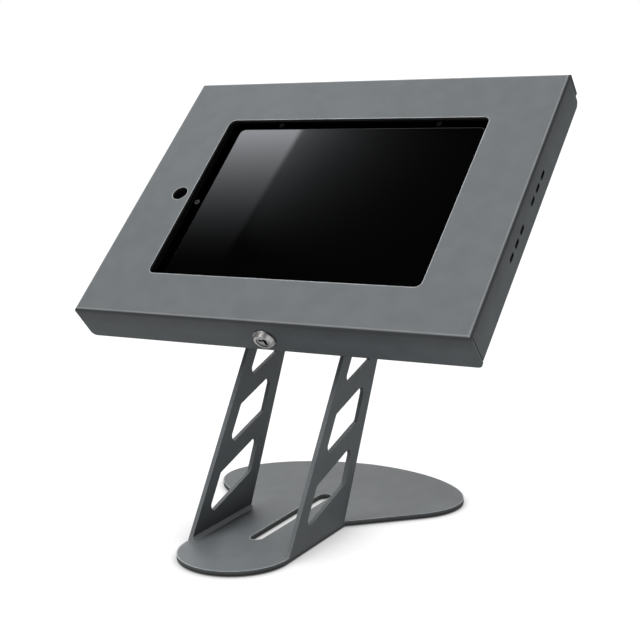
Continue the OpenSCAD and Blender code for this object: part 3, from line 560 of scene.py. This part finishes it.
def coated_lens():
    """Camera lens: dark coated middle, pale ring."""
    material, tree, shader = new_material("coated_lens")
    place = face_place(tree)
    reach = distance(tree, place, (-LENS_U * MM, WINDOW_MID * MM, -GLASS_D * MM))
    ring = rise(tree, reach, 1.1 * MM, 1.5 * MM)
    clouds = noise(tree, place, scale=900.0)
    tint = mix_colour(tree, clouds, (0.004, 0.005, 0.012, 1), (0.010, 0.009, 0.020, 1))
    feed(tree, shader.inputs["Base Color"], mix_colour(tree, ring, tint, grey(0.08)))
    feed(tree, shader.inputs["Roughness"], spread(tree, ring, 0.0, 1.0, 0.05, 0.3))
    shader.inputs["Specular IOR Level"].default_value = 0.25
    return material


# Soft pieces

def rounded_rect(width, height, radius, steps=8):
    """Points around a rectangle with round corners, about its middle."""
    points = []
    for side_x, side_y, start in ((1, 1, 0), (-1, 1, 90), (-1, -1, 180), (1, -1, 270)):
        middle_x = side_x * (width / 2 - radius)
        middle_y = side_y * (height / 2 - radius)
        for i in range(steps + 1):
            turn = math.radians(start + 90 * i / steps)
            points.append((middle_x + radius * math.cos(turn), middle_y + radius * math.sin(turn)))
    return points


def circle(x, y, diameter, steps=32):
    """Points around a circle."""
    turns = [2 * math.pi * i / steps for i in range(steps)]
    return [(x + diameter / 2 * math.cos(turn), y + diameter / 2 * math.sin(turn)) for turn in turns]


def moved(points, x, y):
    """An outline moved across and up."""
    return [(px + x, py + y) for px, py in points]


def slab(name, loops, low, high, soft, material):
    """A slab on the face with softened edges. Outlines and heights are in mm, in the face's frame."""
    curve = bpy.data.curves.new(name, "CURVE")
    curve.dimensions = "2D"
    curve.fill_mode = "BOTH"
    curve.extrude = ((high - low) / 2 - soft) * MM
    curve.bevel_depth = soft * MM
    curve.offset = -soft * MM
    curve.bevel_resolution = 3
    for loop in loops:
        spline = curve.splines.new("POLY")
        spline.points.add(len(loop) - 1)
        for point, (x, y) in zip(spline.points, loop):
            point.co = (x * MM, y * MM, 0, 1)
        spline.use_cyclic_u = True
    maker = bpy.data.objects.new(name + "_maker", curve)
    bpy.context.scene.collection.objects.link(maker)
    bpy.context.view_layer.update()
    shape = maker.evaluated_get(bpy.context.evaluated_depsgraph_get())
    mesh = bpy.data.meshes.new_from_object(shape)
    bpy.data.objects.remove(maker)
    mesh.name = name
    mesh.transform(FACE @ Matrix.Translation((0, 0, (low + high) / 2 * MM)))
    mesh.materials.clear()
    mesh.materials.append(material)
    piece = bpy.data.objects.new(name, mesh)
    bpy.context.scene.collection.objects.link(piece)
    return piece


def build_gasket(material):
    """Foam frame behind the window, with a hole for the camera. Mirror rays pass it."""
    hole = circle(GASKET_HOLE_U, 0.0, GASKET_HOLE_DIAMETER)
    loops = [rounded_rect(*GASKET_OUTSIDE), rounded_rect(*GASKET_OPENING), hole]
    loops = [moved(loop, 0.0, WINDOW_MID) for loop in loops]
    piece = slab("soft_gasket", loops, -GASKET_BACK_D, -GASKET_FRONT_D, GASKET_SOFT, material)
    piece.visible_glossy = False
    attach(piece, "cover")
    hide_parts("window_gasket")


def corner_block(outer_v, inner_v, end_v):
    """Outline of the L-shaped block at a corner on the right."""
    return [
        (BLOCK_LAP_U, outer_v), (BLOCK_OUTER_U, outer_v), (BLOCK_OUTER_U, end_v),
        (BLOCK_INNER_U, end_v), (BLOCK_INNER_U, inner_v), (BLOCK_LAP_U, inner_v),
    ]


def build_corner_foam(material):
    """Four blocks that hold the tablet's corners."""
    lower = corner_block(*BLOCK_LOW_V)
    upper = corner_block(*BLOCK_HIGH_V)[::-1]
    loops = []
    for loop in (lower, upper):
        loops.append(loop)
        loops.append([(-u, v) for u, v in reversed(loop)])
    piece = slab("soft_corner_blocks", loops, -TRAY_FLOOR_D, -GLASS_D - GLASS_T, FOAM_SOFT, material)
    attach(piece, "stand")
    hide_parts("corner_foam")


def build_back_foam(material):
    """Four pads between the tablet's back and the tray."""
    loops = []
    for side_u in (-1, 1):
        for side_v in (-1, 1):
            loops.append(moved(rounded_rect(*PAD), side_u * PAD_OFF_U, WINDOW_MID + side_v * PAD_OFF_V))
    piece = slab("soft_back_pads", loops, -TRAY_FLOOR_D, -TABLET_BACK_D, FOAM_SOFT, material)
    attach(piece, "stand")
    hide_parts("back_foam")


def build_screen(glass, border):
    """The front glass in two pieces: the clear part over the display, and the printed border."""
    width, height = TABLET[0] - 2 * GLASS_INSET, TABLET[1] - 2 * GLASS_INSET
    display = moved(rounded_rect(DISPLAY[0], DISPLAY[1], DISPLAY_R), 0.0, WINDOW_MID)
    rim = moved(rounded_rect(width, height, GLASS_R), 0.0, WINDOW_MID)
    hole = circle(-LENS_U, WINDOW_MID, LENS_HOLE_DIAMETER)
    low, high = -GLASS_D - GLASS_T, -GLASS_D
    clear = slab("screen_clear", [display], low, high, GLASS_SOFT, glass)
    edge = slab("screen_border", [rim, display, hole], low, high, GLASS_SOFT, border)
    for piece in (clear, edge):
        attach(piece, "stand")
        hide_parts("tablet_glass")


def dress_nodes():
    """Give the CAD nodes their materials."""
    to_face = FACE.inverted()
    plug_front = min((to_face @ corner.co).y for corner in NODES["lock_plug"].data.vertices)
    looks = {
        powder_coat(): ("stand_frame", "rear_tray", "cover_leaf_rivets"),
        cover_coat(): ("front_cover",),
        plated_steel(): (
            "mount_screws", "mount_washers", "mount_nuts", "lock_keeper", "keeper_rivets",
            "cover_hinge_leaf", "tray_hinge_leaf", "hinge_pin", "tray_leaf_rivets",
            "lock_washer", "lock_nut", "lock_cam", "cam_screw",
        ),
        bright_nickel("bright_nickel"): ("lock_body",),
        bright_nickel("keyed_nickel", plug_front): ("lock_plug",),
        dull_rubber(): ("foot_pads", "cable_grommet"),
        anodised_shell(): ("tablet_shell", "power_button", "volume_button"),
        dark_display(): ("tablet_display",),
        coated_lens(): ("camera_lens",),
    }
    for material, names in looks.items():
        for name in names:
            for holder in NODES[name].material_slots:
                holder.material = material


# Studio

def plane(name, matrix, width, height, material):
    """A flat card that is part of the studio."""
    half_x, half_y = width / 2, height / 2
    corners = [(-half_x, -half_y, 0), (half_x, -half_y, 0), (half_x, half_y, 0), (-half_x, half_y, 0)]
    mesh = bpy.data.meshes.new(name)
    mesh.from_pydata(corners, [], [(0, 1, 2, 3)])
    mesh.transform(matrix)
    mesh.materials.append(material)
    piece = bpy.data.objects.new(name, mesh)
    bpy.context.scene.collection.objects.link(piece)
    return piece


def build_floor():
    """A light table: white all over, with a painted contact shadow only where something stands close."""
    material, tree, shader = new_material("pale_floor")
    # Painted contact shadow: the glow drops where something stands close.
    glow = spread(tree, open_sky(tree, PAINTED_SHADOW_REACH, samples=12), 0.0, 1.0, FLOOR_PAINTED_SHADOW, FLOOR_GLOW)
    shader.inputs["Base Color"].default_value = (0, 0, 0, 1)
    shader.inputs["Specular IOR Level"].default_value = 0.0
    shader.inputs["Emission Color"].default_value = (1, 1, 1, 1)
    feed(tree, shader.inputs["Emission Strength"], glow)
    floor = plane("floor", Matrix.Identity(4), FLOOR_SIZE, FLOOR_SIZE, material)
    floor.visible_diffuse = False
    floor.visible_glossy = False


def soft_sun(name, towards, spread_deg, strength):
    """A wide even light from one side."""
    light = bpy.data.lights.new(name, "SUN")
    light.energy = strength
    light.angle = math.radians(spread_deg)
    lamp = bpy.data.objects.new(name, light)
    bpy.context.scene.collection.objects.link(lamp)
    lamp.rotation_euler = Vector(towards).to_track_quat("Z", "Y").to_euler()


def build_lights():
    """The studio's wide lights."""
    for name, (towards, spread_deg, strength) in SUNS.items():
        soft_sun(name, towards, spread_deg, strength)


def build_world():
    """White backdrop for the camera, soft light from below and above, less of it in reflections."""
    world = bpy.data.worlds.new("studio")
    bpy.context.scene.world = world
    world.use_nodes = True
    tree = world.node_tree
    background = tree.nodes["Background"]
    background.inputs["Color"].default_value = (1, 1, 1, 1)
    path = add_node(tree, "LightPath")
    upward = parts_of(tree, add_node(tree, "TexCoord").outputs["Generated"])["Z"]
    light = spread(tree, upward, -SKY_BLEND, SKY_BLEND, *SKY_LIGHT)
    mirrored = spread(tree, upward, -SKY_BLEND, SKY_BLEND, *SKY_MIRRORED)
    light = spread(tree, path.outputs["Is Glossy Ray"], 0.0, 1.0, light, mirrored)
    feed(tree, background.inputs["Strength"], most(tree, light, path.outputs["Is Camera Ray"]))


def build_glare():
    """A bright window and a dimmer wall that only the screen mirrors."""
    material, tree, shader = new_material("glare_card")
    tree.nodes.remove(shader)
    x, y, _ = parts_of(tree, object_place(tree))
    height = plus(tree, y, times(tree, x, GLARE_SLANT))
    window = math_node(tree, "POWER", rise(tree, height, *GLARE_WINDOW_RISE), GLARE_WINDOW_POWER)
    window = times(tree, window, GLARE_WINDOW)
    wall = math_node(tree, "POWER", rise(tree, y, *GLARE_WALL_RISE), GLARE_WALL_POWER)
    fade = math_node(tree, "POWER", math.e, math_node(tree, "DIVIDE", x, GLARE_WALL_FADE))
    fade = math_node(tree, "MINIMUM", fade, GLARE_WALL_MOST)
    wall = times(tree, wall, times(tree, fade, GLARE_WALL))
    in_window = rise(tree, plus(tree, x, times(tree, height, GLARE_EDGE_LEAN)), *GLARE_EDGE)
    strength = spread(tree, in_window, 0.0, 1.0, wall, window)
    glow = add_node(tree, "Emission", {"Color": GLARE_TINT, "Strength": strength})
    tree.links.new(glow.outputs["Emission"], tree.nodes["Material Output"].inputs["Surface"])
    card = plane("glare_card", Matrix.Translation((GLARE_SHIFT, 0, 0)), *GLARE_CARD, material)
    axes = (GLARE_ACROSS, GLARE_ALONG, GLARE_ACROSS.cross(GLARE_ALONG))
    card.matrix_world = Matrix.Translation(GLARE_PLACE) @ Matrix(axes).transposed().to_4x4()
    for ray in ("camera", "diffuse", "transmission", "volume_scatter", "shadow"):
        setattr(card, "visible_" + ray, False)
    NODES["front_cover"].visible_glossy = False


def build_camera():
    """The photograph's camera."""
    data = bpy.data.cameras.new("camera")
    data.sensor_width = SENSOR_MM
    data.lens = FOCAL_PIXELS * SENSOR_MM / IMAGE_PIXELS
    data.shift_x = (IMAGE_PIXELS / 2 - IMAGE_CENTRE[0]) / IMAGE_PIXELS
    data.shift_y = (IMAGE_CENTRE[1] - IMAGE_PIXELS / 2) / IMAGE_PIXELS
    camera = bpy.data.objects.new("camera", data)
    bpy.context.scene.collection.objects.link(camera)
    level = Vector((math.cos(CAMERA_AZIMUTH), math.sin(CAMERA_AZIMUTH), 0))
    ahead = Vector((math.sin(CAMERA_AZIMUTH), -math.cos(CAMERA_AZIMUTH), 0)) * math.cos(CAMERA_ELEVATION)
    back = ahead + Vector((0, 0, math.sin(CAMERA_ELEVATION)))
    upright = back.cross(level)
    right = math.cos(CAMERA_ROLL) * level + math.sin(CAMERA_ROLL) * upright
    up = math.cos(CAMERA_ROLL) * upright - math.sin(CAMERA_ROLL) * level
    turned = Matrix((right, up, back)).transposed().to_4x4()
    camera.matrix_world = Matrix.Translation(CAMERA_PLACE) @ turned
    bpy.context.scene.camera = camera


build_camera()
build_world()
build_floor()
build_lights()
build_glare()
dress_nodes()
foam = cell_foam()
build_gasket(foam)
build_corner_foam(foam)
build_back_foam(foam)
build_screen(screen_glass(), printed_border())
bpy.context.scene.view_settings.view_transform = "Standard"
